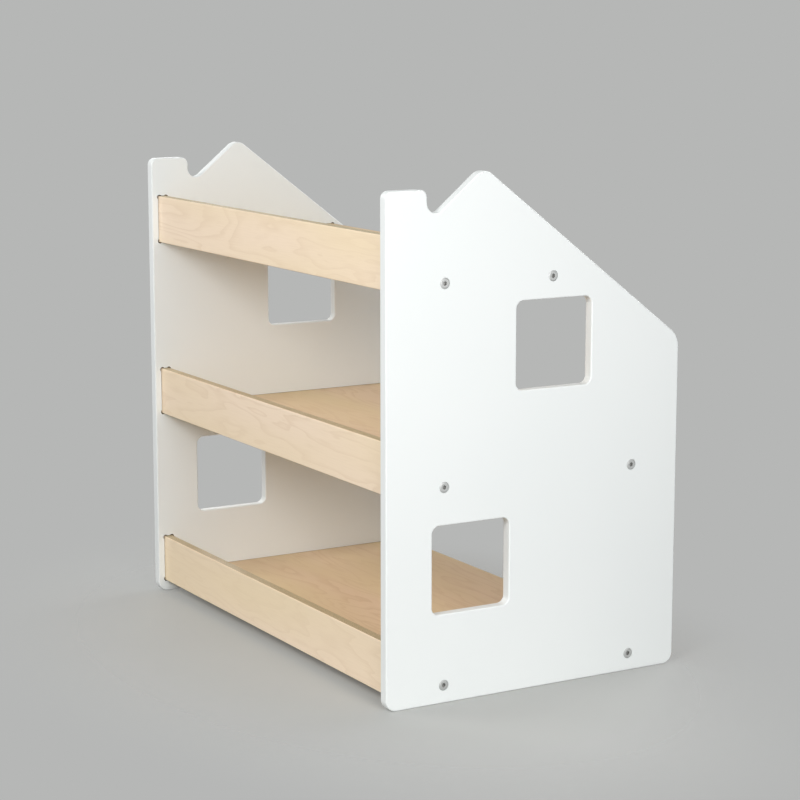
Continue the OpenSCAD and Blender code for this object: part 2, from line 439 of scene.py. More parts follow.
for level in LEVELS:
    for place in PLACES:
        bolt = middle_of(f"{level}_right_{place}_bolt")
        outside = (OUTER + PAST, bolt.y, bolt.z)
        cut(right_panel, bar("drill", (INNER - PAST, bolt.y, bolt.z), outside, HOLE_RADIUS))
        cut(right_panel, bar("counterbore", (OUTER - HEAD_THICKNESS, bolt.y, bolt.z), outside,
                             RECESS_RADIUS, sides=64))
show(right_panel)

# %% [markdown]
# ## Smooth shading and the second panel
# Smooth shading would spread the roundings' shading over the large flat faces. So sharp edges
# stay sharp by their angle, and a Weighted Normal modifier lets the flat faces keep their own
# direction. The left panel is the right one's mirror image, with its own mesh. Mirroring turns
# a mesh inside out, so its normals are worked out again before it is shaded.

# %% Mirror and shade
def mirrored(piece, name):
    """A mirror image on the other side of the bookcase, with its own mesh"""
    twin = piece.copy()
    twin.data = piece.data.copy()
    twin.name = name
    bpy.context.collection.objects.link(twin)
    with editing(twin):
        bpy.ops.mesh.select_all(action="SELECT")
        bpy.ops.transform.resize(value=(-1, 1, 1), center_override=(0, 0, 0))
        bpy.ops.mesh.normals_make_consistent(inside=False)
    return twin


def shade(piece, sharper_than=40, weigh=True):
    """Shade the roundings smooth and keep the flat faces flat"""
    only(piece)
    bpy.ops.object.shade_smooth_by_angle(angle=radians(sharper_than))
    if weigh:
        modifier = piece.modifiers.new("flat faces", "WEIGHTED_NORMAL")
        modifier.keep_sharp = True
        modifier.weight = 100
        bpy.ops.object.modifier_apply(modifier=modifier.name)


left_panel = mirrored(right_panel, "left_side_panel")
for panel in (left_panel, right_panel):
    shade(panel)
    show(panel)

# %% [markdown]
# ## Shelves and rails
# All six boards are 15 mm birch plywood. Their open long edges are eased by 1.5 mm, so that
# they feel soft to the hand. Where a rail meets its shelf both edges stay square, for a tight
# joint. The ends stay square as well, because they sit in the pockets.

# %% Ease the long edges
EASE = 1.5 * MM


def ease(piece, corners):
    """Round the edges that run along X through the given (y, z) corners"""
    def is_open(edge):
        return any(all(near(v.co.y, y) and near(v.co.z, z) for v in edge.verts)
                   for y, z in corners)

    with editing(piece):
        pick(piece, "edges", is_open)
        bpy.ops.mesh.bevel(offset=EASE, segments=5, profile=ROUND)


rails = {}
shelves = {}
for level in LEVELS:
    low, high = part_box(level + "_rail")
    rails[level] = block(level + "_rail_board", low, high)
    ease(rails[level], [(low.y, low.z), (low.y, high.z), (high.y, high.z)])
    low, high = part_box(level + "_shelf")
    shelves[level] = block(level + "_shelf_board", low, high)
    ease(shelves[level], [(high.y, low.z), (high.y, high.z)])
    show(shelves[level])

# %% [markdown]
# ## Holes in the wood
# A connector bolt runs into the shelf's end and meets a barrel nut, which goes in from below,
# so the shelf's top stays clean. Four dowels hold each rail to its shelf. Each hole is drilled
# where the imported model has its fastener, a little wider than the fastener itself.

# %% Drill the shelves and rails
NUT_HOLE_RADIUS = 5.3 * MM
DOWEL_HOLE_RADIUS = 4.1 * MM
HOLE_END_GAP = 1 * MM
NUT_DRILL_REACH = 15 * MM
DOWEL_ROOM = 0.1 * MM
DOWEL_NUMBERS = (1, 2, 3, 4)


def drill_for_bolt(shelf, bolt_node, nut_node):
    """Drill a shelf's end for a bolt, and its underside for the barrel nut"""
    low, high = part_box(bolt_node)
    y = (low.y + high.y) / 2
    z = (low.z + high.z) / 2
    tip = low.x - HOLE_END_GAP if low.x > 0 else high.x + HOLE_END_GAP
    mouth = high.x if low.x > 0 else low.x
    cut(shelf, bar("drill", (tip, y, z), (mouth, y, z), HOLE_RADIUS, sides=32))
    nut_low, nut_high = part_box(nut_node)
    x = (nut_low.x + nut_high.x) / 2
    cut(shelf, bar("drill", (x, y, z - NUT_DRILL_REACH), (x, y, nut_high.z + PLAY),
                   NUT_HOLE_RADIUS, sides=40))


def drill_for_dowel(board, dowel_node):
    """Drill a board for a dowel, with a little room at both of the dowel's ends"""
    low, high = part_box(dowel_node)
    x = (low.x + high.x) / 2
    z = (low.z + high.z) / 2
    cut(board, bar("drill", (x, low.y - DOWEL_ROOM, z), (x, high.y + DOWEL_ROOM, z),
                   DOWEL_HOLE_RADIUS, sides=32))


for level in LEVELS:
    for side in ("left", "right"):
        for place in PLACES:
            end = f"{level}_{side}_{place}"
            drill_for_bolt(shelves[level], end + "_bolt", end + "_nut")
    for number in DOWEL_NUMBERS:
        drill_for_dowel(shelves[level], f"{level}_dowel_{number}")
        drill_for_dowel(rails[level], f"{level}_dowel_{number}")
    shade(shelves[level])
    shade(rails[level])
    show(shelves[level])

# %% [markdown]
# ## Connector bolt
# A connector bolt has a wide flat head with a sloping rim and a socket for a hexagon key. A
# lathe would turn its profile. Here one short cylinder is enough: the head's rim and the shank
# are extruded and scaled from its two ends, and the socket is sunk into it. A small bevel round
# the socket leads the key in. The thread is inside the shelf and is left out.

# %% Connector bolt
HEAD_RADIUS = 7.5 * MM
RIM_HEIGHT = 0.6 * MM
RIM_WIDTH = 1.8 * MM
SHANK_RADIUS = 3 * MM
BOLT_LENGTH = 50 * MM
TIP = 1 * MM
KEY_SIZE = 5 * MM
SOCKET_RADIUS = KEY_SIZE / 2 / cos(radians(30))
SOCKET_DEPTH = 4 * MM
LEAD_IN = 0.35 * MM
SQUARE_ON = 0.9

centre = middle_of("bottom_right_front_bolt")
axis = Vector((0, centre.y, centre.z))


def on_axis(x):
    """A point on the bolt's axis"""
    return (x, axis.y, axis.z)


first_bolt = bar("bottom_right_front_connector_bolt", on_axis(OUTER - RIM_HEIGHT),
                 on_axis(OUTER - HEAD_THICKNESS), HEAD_RADIUS, sides=64)
with editing(first_bolt):
    pick(first_bolt, "faces", lambda face: face.normal.x > SQUARE_ON)
    bpy.ops.mesh.extrude_region_move(TRANSFORM_OT_translate={"value": (RIM_HEIGHT, 0, 0)})
    narrow = (HEAD_RADIUS - RIM_WIDTH) / HEAD_RADIUS
    bpy.ops.transform.resize(value=(1, narrow, narrow), center_override=on_axis(OUTER))
    pick(first_bolt, "faces", lambda face: face.normal.x < -SQUARE_ON)
    bpy.ops.mesh.inset(thickness=HEAD_RADIUS - SHANK_RADIUS)
    bpy.ops.mesh.extrude_region_move(TRANSFORM_OT_translate={"value": (TIP - BOLT_LENGTH, 0, 0)})
    bpy.ops.mesh.extrude_region_move(TRANSFORM_OT_translate={"value": (-TIP, 0, 0)})
    tip_x = OUTER - HEAD_THICKNESS - BOLT_LENGTH
    blunt = (SHANK_RADIUS - TIP) / SHANK_RADIUS
    bpy.ops.transform.resize(value=(1, blunt, blunt), center_override=on_axis(tip_x))
cut(first_bolt, bar("key", on_axis(OUTER - SOCKET_DEPTH), on_axis(OUTER + PAST), SOCKET_RADIUS,
                    sides=6))


def on_socket_rim(edge):
    """Edges of the hexagon in the face of the head"""
    return all(near(v.co.x, OUTER) and (v.co - axis).yz.length < SOCKET_RADIUS + RIM_HEIGHT / 2
               for v in edge.verts)


with editing(first_bolt):
    pick(first_bolt, "edges", on_socket_rim)
    bpy.ops.mesh.bevel(offset=LEAD_IN, segments=1)
shade(first_bolt, sharper_than=15, weigh=False)
show(first_bolt)

# %% [markdown]
# ## Barrel nut
# The barrel nut is a short steel bar that lies across the bolt inside the shelf. The bolt screws
# into its bore, and a screwdriver in its slot turns the bore towards the bolt. The ends are
# rounded first, while their rims are still whole circles, and the cuts come after.

# %% Barrel nut
NUT_EDGE = 0.5 * MM
BORE_RADIUS = 3.05 * MM
SLOT_WIDTH = 1.4 * MM
SLOT_DEPTH = 1.5 * MM

nut_low, nut_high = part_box("bottom_right_front_nut")
nut_middle = (nut_low + nut_high) / 2
nut_radius = (nut_high.x - nut_low.x) / 2
first_nut = bar("bottom_right_front_barrel_nut", (nut_middle.x, nut_middle.y, nut_low.z),
                (nut_middle.x, nut_middle.y, nut_high.z), nut_radius)
with editing(first_nut):
    pick(first_nut, "edges", lambda edge: near(edge.verts[0].co.z, edge.verts[1].co.z))
    bpy.ops.mesh.bevel(offset=NUT_EDGE, segments=3, profile=ROUND)
cut(first_nut, bar("tap", (nut_low.x - PAST, nut_middle.y, nut_middle.z),
                   (nut_high.x + PAST, nut_middle.y, nut_middle.z), BORE_RADIUS, sides=32))
cut(first_nut, block("slot", (nut_low.x - PAST, nut_middle.y - SLOT_WIDTH / 2, nut_low.z - PAST),
                     (nut_high.x + PAST, nut_middle.y + SLOT_WIDTH / 2, nut_low.z + SLOT_DEPTH)))
shade(first_nut, sharper_than=30, weigh=False)
show(first_nut)

# %% [markdown]
# ## Fluted dowel
# A dowel is a beech pin whose flutes let the glue escape. Sixteen grooves could be cut one by
# one. It is quicker to give the bar two sides for each flute and to pull every second point in.
# The chamfered ends help the pin to find its hole.

# %% Fluted dowel
DOWEL_CHAMFER = 1 * MM
FLUTES = 16
FLUTE_SCALE = 0.93

dowel_low, dowel_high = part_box("bottom_dowel_1")
dowel_middle = (dowel_low + dowel_high) / 2
dowel_radius = (dowel_high.x - dowel_low.x) / 2
first_dowel = bar("bottom_dowel_pin_1", (dowel_middle.x, dowel_low.y, dowel_middle.z),
                  (dowel_middle.x, dowel_high.y, dowel_middle.z), dowel_radius, sides=2 * FLUTES)


def in_flute(v):
    """Every second point round the dowel"""
    turn = Vector((v.co.x - dowel_middle.x, v.co.z - dowel_middle.z)).angle_signed(Vector((1, 0)))
    return round(turn / (pi / FLUTES)) % 2 == 1


with editing(first_dowel):
    pick(first_dowel, "verts", in_flute)
    bpy.ops.transform.resize(value=(FLUTE_SCALE, 1, FLUTE_SCALE), center_override=dowel_middle)
    pick(first_dowel, "faces", lambda face: abs(face.normal.y) > SQUARE_ON)
    bpy.ops.mesh.region_to_loop()
    bpy.ops.mesh.bevel(offset=DOWEL_CHAMFER, segments=1)
shade(first_dowel, sharper_than=30, weigh=False)
show(first_dowel)

# %% [markdown]
# ## The other fasteners
# Each kind has been made once. The rest are copies with their own meshes, moved by the step from
# the first one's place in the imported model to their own. The left-hand ones are mirror images.

# %% Copy the fasteners to their places
def copied(piece, name, from_node, to_node):
    """A copy with its own mesh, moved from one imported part's place to another's"""
    twin = piece.copy()
    twin.data = piece.data.copy()
    twin.name = name
    bpy.context.collection.objects.link(twin)
    twin.location = middle_of(to_node) - middle_of(from_node)
    settle(twin)
    return twin


bolts = {}
nuts = {}
dowels = {}
for level in LEVELS:
    for place in PLACES:
        right = f"{level}_right_{place}"
        left = f"{level}_left_{place}"
        if right == "bottom_right_front":
            bolts[right] = first_bolt
            nuts[right] = first_nut
        else:
            bolts[right] = copied(first_bolt, right + "_connector_bolt", "bottom_right_front_bolt",
                                  right + "_bolt")
            nuts[right] = copied(first_nut, right + "_barrel_nut", "bottom_right_front_nut",
                                 right + "_nut")
        bolts[left] = mirrored(bolts[right], left + "_connector_bolt")
        nuts[left] = mirrored(nuts[right], left + "_barrel_nut")
    for number in DOWEL_NUMBERS:
        name = f"{level}_dowel_{number}"
        if name == "bottom_dowel_1":
            dowels[name] = first_dowel
        else:
            dowels[name] = copied(first_dowel, f"{level}_dowel_pin_{number}", "bottom_dowel_1",
                                  name)
print("bolts, nuts and dowels:", len(bolts), len(nuts), len(dowels))

# %% [markdown]
# ## Colours and nodes
# Colours are written as the hex values that a paint chart or a photograph gives. Blender works
# in linear light, so one function converts them. A second one adds a node, sets it up and links
# it, which keeps each finish readable as a recipe.

# %% Colour and node helpers
def linear(hex_colour):
    """A hex sRGB colour in Blender's linear light"""
    parts = [int(hex_colour[i:i + 2], 16) / 255 for i in (1, 3, 5)]
    return tuple(p / 12.92 if p <= 0.04045 else ((p + 0.055) / 1.055) ** 2.4 for p in parts) + (1,)


def add(tree, kind, inputs, **settings):
    """Add a node, set its properties, and fill its inputs with values or other nodes' outputs"""
    new = tree.nodes.new("ShaderNode" + kind)
    for name, value in settings.items():
        setattr(new, name, value)
    for name, value in inputs.items():
        if isinstance(value, bpy.types.NodeSocket):
            tree.links.new(value, new.inputs[name])
        else:
            new.inputs[name].default_value = value
    return new


def new_finish(name):
    """An empty material with its surface shader and its object coordinates"""
    finish = bpy.data.materials.new(name)
    finish.use_nodes = True
    tree = finish.node_tree
    return finish, tree, tree.nodes["Principled BSDF"], tree.nodes.new("ShaderNodeTexCoord")


print("the hex grey #808080 in linear light:", round(linear("#808080")[0], 3))

# %% [markdown]
# ## White lacquer on MDF
# The panels are MDF with a sprayed and sanded satin lacquer. To the eye it is a clean, very
# slightly cool white with a soft sheen. Spraying leaves an orange peel of about 1 mm, far too
# fine for a picture of a whole bookcase, so it is drawn at 4 mm and very shallow. A slow change
# of shade and gloss keeps the large faces from looking like paper.

# %% White lacquer
PEEL = 4 * MM
CLOUDS = 220 * MM

white_lacquer, tree, shader, coordinates = new_finish("satin white lacquer on MDF")
place = coordinates.outputs["Object"]
clouds = add(tree, "TexNoise", {"Vector": place, "Scale": 1 / CLOUDS, "Detail": 2.0})
peel = add(tree, "TexNoise", {"Vector": place, "Scale": 1 / PEEL, "Detail": 1.0})
white = add(tree, "Mix", {0: clouds.outputs["Fac"], 6: linear("#eff3f2"), 7: linear("#f3f6f5")},
            data_type="RGBA")
gloss = add(tree, "MapRange", {"Value": clouds.outputs["Fac"], "To Min": 0.34, "To Max": 0.46})
bump = add(tree, "Bump", {"Height": peel.outputs["Fac"], "Strength": 0.06, "Distance": 0.2 * MM})
tree.links.new(white.outputs[2], shader.inputs["Base Color"])
tree.links.new(gloss.outputs["Result"], shader.inputs["Roughness"])
tree.links.new(bump.outputs["Normal"], shader.inputs["Normal"])
shader.inputs["IOR"].default_value = 1.5
print("finish:", white_lacquer.name)

# %% [markdown]
# ## Bare MDF in the pockets
# The pockets are milled after the board has been sprayed, so their walls are bare. MDF is felted
# from fine fibres and has no grain, which gives the eye a dull, speckled brown. That is why the
# reliefs at the rails' ends look dark. The fibres are too fine to show and are drawn at 1.5 mm.

# %% Bare MDF
FELTED_FIBRES = 1.5 * MM

bare_mdf, tree, shader, coordinates = new_finish("bare milled MDF")
fibres = add(tree, "TexNoise", {"Vector": coordinates.outputs["Object"], "Scale": 1 / FELTED_FIBRES,
                                "Detail": 3.0})
brown = add(tree, "Mix", {0: fibres.outputs["Fac"], 6: linear("#8f7c66"), 7: linear("#746452")},
            data_type="RGBA")
bump = add(tree, "Bump", {"Height": fibres.outputs["Fac"], "Strength": 0.3, "Distance": 0.1 * MM})
tree.links.new(brown.outputs[2], shader.inputs["Base Color"])
tree.links.new(bump.outputs["Normal"], shader.inputs["Normal"])
shader.inputs["Roughness"].default_value = 0.9
print("finish:", bare_mdf.name)

# %% [markdown]
# ## Birch plywood
# A 15 mm sheet is eleven veneers of birch, each with its grain across the last, so the face
# shows the long grain and the edges show light and dark lines in turn. A picture could be
# wrapped round each board, but wood is solid, and so is this finish: it reads the place inside
# the board, and whatever the saw or the router uncovers has the right look. The first step is
# to tell which veneer a place lies in, and how near it is to a line of glue.

# %% Veneers
PLIES = 11
SHEET = 15 * MM
PLY = SHEET / PLIES
LAST_PLY = PLIES - 0.01
GLUE_REACH = 0.12
SHELF_PITCH = 280 * MM


def veneers(tree, place, through, start):
    """The veneer's number, from 0, and a glue line of 1, in sheets that repeat with the shelves"""
    axes = add(tree, "SeparateXYZ", {"Vector": place})
    inside = add(tree, "Math", {0: axes.outputs[through], 1: start}, operation="SUBTRACT")
    inside = add(tree, "Math", {0: inside.outputs[0], 1: SHELF_PITCH}, operation="FLOORED_MODULO")
    ply = add(tree, "Math", {0: inside.outputs[0], 1: PLY}, operation="DIVIDE")
    ply = add(tree, "Math", {0: ply.outputs[0], 1: LAST_PLY}, operation="MINIMUM")
    number = add(tree, "Math", {0: ply.outputs[0]}, operation="FLOOR")
    glue = add(tree, "Math", {0: ply.outputs[0], 1: 0.5}, operation="PINGPONG")
    glue_line = add(tree, "MapRange", {"Value": glue.outputs[0], "From Min": 0.0,
                                       "From Max": GLUE_REACH, "To Min": 1.0, "To Max": 0.0})
    return number.outputs[0], glue_line.outputs["Result"]


print("each veneer is", round(PLY / MM, 2), "mm thick")

# %% [markdown]
# ## Rings and pores
# Birch veneer is peeled from the log, which spreads the rings into wide, wavy contours. They
# come from a slow noise, stretched along the grain, whose height is cut into even steps, like
# the height lines on a map. The real pores are a few tenths of a millimetre wide and would not
# show, so they are drawn about 1.4 mm wide.

# %% Grain of birch
FIGURE = {"along": 526.3 * MM, "across": 83.33 * MM, "through": 666.7 * MM}
PORES = {"along": 40 * MM, "across": 1.4286 * MM, "through": 16.67 * MM}
RINGS = 15
RING_START = 0.5
RING_PEAK = 0.92
RING_END = 0.98


def counts_per_metre(size, through):
    """How often a pattern of a given size fits in a metre along X, Y and Z"""
    counts = {"X": 1 / size["along"], "Y": 1 / size["across"], "Z": 1 / size["across"]}
    counts[through] = 1 / size["through"]
    return tuple(counts.values())


def growth_rings(tree, grain):
    """Lines that darken slowly to the end of each year's ring and stop there"""
    height = add(tree, "TexNoise", {"Vector": grain.outputs[0], "Scale": 1.0, "Detail": 3.5,
                                    "Roughness": 0.5, "Distortion": 0.3})
    steps = add(tree, "Math", {0: height.outputs["Fac"], 1: RINGS}, operation="MULTIPLY")
    ring = add(tree, "Math", {0: steps.outputs[0]}, operation="FRACT")
    ring_line = add(tree, "ValToRGB", {"Fac": ring.outputs[0]})
    stops = ring_line.color_ramp.elements
    stops[0].position = RING_START
    stops[0].color = (0, 0, 0, 1)
    stops[1].position = RING_PEAK
    stops[1].color = (1, 1, 1, 1)
    stops.new(RING_END).color = (0, 0, 0, 1)
    return ring_line.outputs["Color"]


print("rings:", RINGS, "steps; pores:", PORES["across"] / MM, "mm wide")

# %% [markdown]
# ## Face and edge
# The face of birch runs from pale to rosy, and the rings and pores are laid over it. Only the
# veneers between the two faces can show a sawn edge, so only they are darkened, and every
# second one shows its darker end grain, with lines of glue between them.

# %% Colours of face and edge
MIDDLE_PLY = (PLIES - 1) / 2
INNER_REACH = MIDDLE_PLY - 0.6  # takes in veneers 1 to 9, but not the two faces, 0 and 10
PORE_TINT = 0.07
SAWN_TINT = 0.5
GLUE_TINT = 0.4


def face_colour(tree, grain, fibres, pale, rosy, figure):
    """Pale and rosy zones, under rings of a given strength and fine pores"""
    zones = add(tree, "TexNoise", {"Vector": grain.outputs[0], "Scale": 0.8, "Detail": 1.0})
    rosiness = add(tree, "MapRange", {"Value": zones.outputs["Fac"], "From Min": 0.35,
                                      "From Max": 0.65})
    wood = add(tree, "Mix", {0: rosiness.outputs["Result"], 6: linear(pale), 7: linear(rosy)},
               data_type="RGBA")
    fading = add(tree, "MapRange", {"Value": rosiness.outputs["Result"], "To Min": figure / 6,
                                    "To Max": figure})
    ring_strength = add(tree, "Math", {0: growth_rings(tree, grain), 1: fading.outputs["Result"]},
                        operation="MULTIPLY")
    wood = add(tree, "Mix", {0: ring_strength.outputs[0], 6: wood.outputs[2], 7: linear("#c9a67c")},
               data_type="RGBA")
    fibre_strength = add(tree, "MapRange", {"Value": fibres.outputs["Fac"], "From Min": 0.45,
                                            "From Max": 0.75, "To Min": 0.0, "To Max": PORE_TINT})
    return add(tree, "Mix", {0: fibre_strength.outputs["Result"], 6: wood.outputs[2],
                             7: linear("#b89c75")}, data_type="RGBA")


def with_edge(tree, wood, fibres, number, glue_line):
    """The face's colour, and for the inner veneers that of their sawn edges"""
    inner = add(tree, "Math", {0: number, 1: MIDDLE_PLY, 2: INNER_REACH}, operation="COMPARE")
    sawn = add(tree, "Math", {0: inner.outputs[0], 1: SAWN_TINT}, operation="MULTIPLY")
    wood = add(tree, "Mix", {0: sawn.outputs[0], 6: wood.outputs[2], 7: linear("#c8b78d")},
               data_type="RGBA")
    end_grain = add(tree, "Mix", {0: fibres.outputs["Fac"], 6: linear("#b2a077"),
                                  7: linear("#97855f")}, data_type="RGBA")
    across = add(tree, "Math", {0: number, 1: 2.0}, operation="MODULO")
    layers = add(tree, "Mix", {0: across.outputs[0], 6: wood.outputs[2], 7: end_grain.outputs[2]},
                 data_type="RGBA")
    glue_strength = add(tree, "Math", {0: glue_line, 1: inner.outputs[0]}, operation="MULTIPLY")
    glue_soft = add(tree, "Math", {0: glue_strength.outputs[0], 1: GLUE_TINT},
                    operation="MULTIPLY")
    return add(tree, "Mix", {0: glue_soft.outputs[0], 6: layers.outputs[2], 7: linear("#8c7959")},
               data_type="RGBA")


print("sawn edges show from veneer", ceil(MIDDLE_PLY - INNER_REACH), "to",
      int(MIDDLE_PLY + INNER_REACH))

# %% [markdown]
# ## Varnished birch
# Two finishes come out of the one recipe, because the rails stand, with their veneers behind
# each other, and the shelves lie, with their veneers on top of each other. In the photograph
# the shelves look a deeper shade, and they are given darker colours than the rails: that is
# painted shade, for the shade inside the bookcase. The varnish is satin, with the pores just felt
# in it.

# %% Birch plywood
def birch_plywood(name, through, start, pale, rosy, figure):
    """Plywood whose veneers are stacked along one axis, from a start"""
    finish, tree, shader, coordinates = new_finish(name)
    place = coordinates.outputs["Object"]
    number, glue_line = veneers(tree, place, through, start)
    grain = add(tree, "VectorMath", {0: place, 1: counts_per_metre(FIGURE, through)},
                operation="MULTIPLY")
    streaks = add(tree, "VectorMath", {0: place, 1: counts_per_metre(PORES, through)},
                  operation="MULTIPLY")
    fibres = add(tree, "TexNoise", {"Vector": streaks.outputs[0], "Scale": 1.0, "Detail": 3.0})
    wood = face_colour(tree, grain, fibres, pale, rosy, figure)
    colour = with_edge(tree, wood, fibres, number, glue_line)
    gloss = add(tree, "MapRange", {"Value": fibres.outputs["Fac"], "To Min": 0.42, "To Max": 0.6})
    bump = add(tree, "Bump", {"Height": fibres.outputs["Fac"], "Strength": 0.08,
                              "Distance": 0.1 * MM})
    tree.links.new(colour.outputs[2], shader.inputs["Base Color"])
    tree.links.new(gloss.outputs["Result"], shader.inputs["Roughness"])
    tree.links.new(bump.outputs["Normal"], shader.inputs["Normal"])
    shader.inputs["IOR"].default_value = 1.5
    print("finish:", finish.name)
    return finish


standing_birch = birch_plywood("varnished birch plywood, standing", "Y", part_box("bottom_rail")[0].y,
                               pale="#f9e4c1", rosy="#fde7cd", figure=0.19)
# the lying boards' darker pale and rosy colours are painted shade
lying_birch_painted_shade = birch_plywood("varnished birch plywood, lying, with painted shade", "Z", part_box("bottom_shelf")[0].z,
                            pale="#dec69d", rosy="#e1c5a5", figure=0.45)

# %% [markdown]
# ## Zinc-plated steel
# The bolts and nuts are steel with a thin coat of zinc, which makes them pale grey and satiny
# rather than bright. A mirror-like metal with scratches was another way, but new zinc is evenly
# dull, so a fine grit changes its tone, gloss and height by very little.

# %% Zinc-plated steel
ZINC_GRAIN = 0.5 * MM

zinc_steel, tree, shader, coordinates = new_finish("zinc-plated steel")
grit = add(tree, "TexNoise", {"Vector": coordinates.outputs["Object"], "Scale": 1 / ZINC_GRAIN,
                              "Detail": 3.0})
tone = add(tree, "Mix", {0: grit.outputs["Fac"], 6: linear("#c0c2c1"), 7: linear("#cecfce")},
           data_type="RGBA")
gloss = add(tree, "MapRange", {"Value": grit.outputs["Fac"], "To Min": 0.55, "To Max": 0.68})
bump = add(tree, "Bump", {"Height": grit.outputs["Fac"], "Strength": 0.1, "Distance": 0.02 * MM})
tree.links.new(tone.outputs[2], shader.inputs["Base Color"])
tree.links.new(gloss.outputs["Result"], shader.inputs["Roughness"])
tree.links.new(bump.outputs["Normal"], shader.inputs["Normal"])
shader.inputs["Metallic"].default_value = 1.0
print("finish:", zinc_steel.name)

# %% [markdown]
# ## Painted shade in the sockets
# Inside the bolts' sockets the steel gets a second finish, only a little darker than the zinc.
# That darker colour is painted shade: little light finds its way into a deep socket, so to the
# eye it is almost black.

# %% Painted shade in the sockets
# a darker steel, painted shade for the walls and floor of each socket
socket_shade_steel, tree, shader, coordinates = new_finish("steel with painted socket shade")
grit = add(tree, "TexNoise", {"Vector": coordinates.outputs["Object"], "Scale": 1 / ZINC_GRAIN})
tone = add(tree, "Mix", {0: grit.outputs["Fac"], 6: linear("#a6a6a4"), 7: linear("#b4b4b2")},
           data_type="RGBA")
tree.links.new(tone.outputs[2], shader.inputs["Base Color"])
shader.inputs["Metallic"].default_value = 1.0
shader.inputs["Roughness"].default_value = 0.55
print("finish:", socket_shade_steel.name)

# %% [markdown]
# ## Beech
# Beech, for the dowels, is pinker than birch and has short dark flecks along its grain, which
# runs from front to back here. The flecks are really 2 to 3 mm long, and that is how they are
# drawn.

# %% Beech
FLECK_WIDTH = 0.714 * MM
FLECK_LENGTH = 2.857 * MM

beech, tree, shader, coordinates = new_finish("turned beech")
flecked = add(tree, "VectorMath", {0: coordinates.outputs["Object"],
                                   1: (1 / FLECK_WIDTH, 1 / FLECK_LENGTH, 1 / FLECK_WIDTH)},
              operation="MULTIPLY")
flecks = add(tree, "TexNoise", {"Vector": flecked.outputs[0], "Scale": 1.0, "Detail": 2.0})
tone = add(tree, "Mix", {0: flecks.outputs["Fac"], 6: linear("#dcb489"), 7: linear("#b98a5c")},
           data_type="RGBA")
bump = add(tree, "Bump", {"Height": flecks.outputs["Fac"], "Strength": 0.15,
                          "Distance": 0.1 * MM})
tree.links.new(tone.outputs[2], shader.inputs["Base Color"])
tree.links.new(bump.outputs["Normal"], shader.inputs["Normal"])
shader.inputs["Roughness"].default_value = 0.6
print("finish:", beech.name)

# %% [markdown]
# ## Dressing the model
# Each piece gets its finish, rides on the bookcase's one body, and stands for the imported part
# that it replaces. The imported parts stay in the file for the simulation, but are hidden. Two
# kinds of piece have a second finish on some faces, which are found by where they lie: the
# walls and floors of the pockets, and those of the bolts' sockets, where the darker steel is
# painted shade.

# %% Finish and replace
def dress(piece, finish, node):
    """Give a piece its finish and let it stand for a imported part"""
    piece.data.materials.clear()
    piece.data.materials.append(finish)
    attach(piece, "root")
    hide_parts(node)


def second_finish(piece, finish, test):
    """Give the faces that pass the test another finish than the rest of the piece"""
    piece.data.materials.append(finish)
    with editing(piece):
        pick(piece, "faces", test)
        piece.active_material_index = len(piece.data.materials) - 1
        bpy.ops.object.material_slot_assign()


def in_pocket(face):
    """The walls and floor of a pocket, on either panel"""
    depths = [abs(v.co.x) for v in face.verts]
    on_floor = [near(depth, floor_of_pocket) for depth in depths]
    return any(on_floor) and all(deep or near(depth, INNER)
                                 for deep, depth in zip(on_floor, depths))


# the socket faces between these depths get the darker steel as painted shade
SOCKET_END = OUTER - 1.5 * SOCKET_DEPTH
UNDER_FACE = OUTER - LEAD_IN / 3
bolt_axes = [middle_of(end + "_bolt") for end in bolts]


def gets_socket_shade(face):
    """The walls and floor of a bolt's socket, below the face of its head, which get painted shade"""
    middle = face.calc_center_median()
    off_axis = min((axis - middle).yz.length for axis in bolt_axes)
    return SOCKET_END < abs(middle.x) < UNDER_FACE and off_axis < SOCKET_RADIUS


for side, panel in (("left", left_panel), ("right", right_panel)):
    dress(panel, white_lacquer, side + "_panel")
    second_finish(panel, bare_mdf, in_pocket)
for level in LEVELS:
    dress(rails[level], standing_birch, level + "_rail")
    # the shelves' darker birch is painted shade
    dress(shelves[level], lying_birch_painted_shade, level + "_shelf")
for end, bolt in bolts.items():
    dress(bolt, zinc_steel, end + "_bolt")
    # the sockets' darker steel is painted shade
    second_finish(bolt, socket_shade_steel, gets_socket_shade)
for end, nut in nuts.items():
    dress(nut, zinc_steel, end + "_nut")
for name, dowel in dowels.items():
    dress(dowel, beech, name)
print("boards dressed:", len(rails) + len(shelves), "- fasteners:",
      len(bolts) + len(nuts) + len(dowels))

# %% [markdown]
# ## Studio background
# The background is an even grey, as on a studio roll. A curved backdrop would give it too, but
# it would hide the bookcase from behind, so the world gives it. Camera, glossy and transmission
# rays see that grey, and all other rays meet a soft white light from all round.

# %% World
BACKGROUND = "#b6b7b6"
AMBIENT = 0.2

world = bpy.data.worlds.new("studio")
bpy.context.scene.world = world
world.use_nodes = True
tree = world.node_tree
tree.nodes.clear()
ray = add(tree, "LightPath", {})
seen = add(tree, "Math", {0: ray.outputs["Is Camera Ray"], 1: ray.outputs["Is Glossy Ray"]},
           operation="MAXIMUM")
seen = add(tree, "Math", {0: seen.outputs[0], 1: ray.outputs["Is Transmission Ray"]},
           operation="MAXIMUM")
soft_light = add(tree, "Background", {"Color": linear("#ffffff"), "Strength": AMBIENT})
backdrop = add(tree, "Background", {"Color": linear(BACKGROUND), "Strength": 1.0})
either = add(tree, "MixShader", {0: seen.outputs[0], 1: soft_light.outputs[0],
                                 2: backdrop.outputs[0]})
add(tree, "OutputWorld", {"Surface": either.outputs[0]})
print("background:", BACKGROUND, "- light from all round:", AMBIENT)

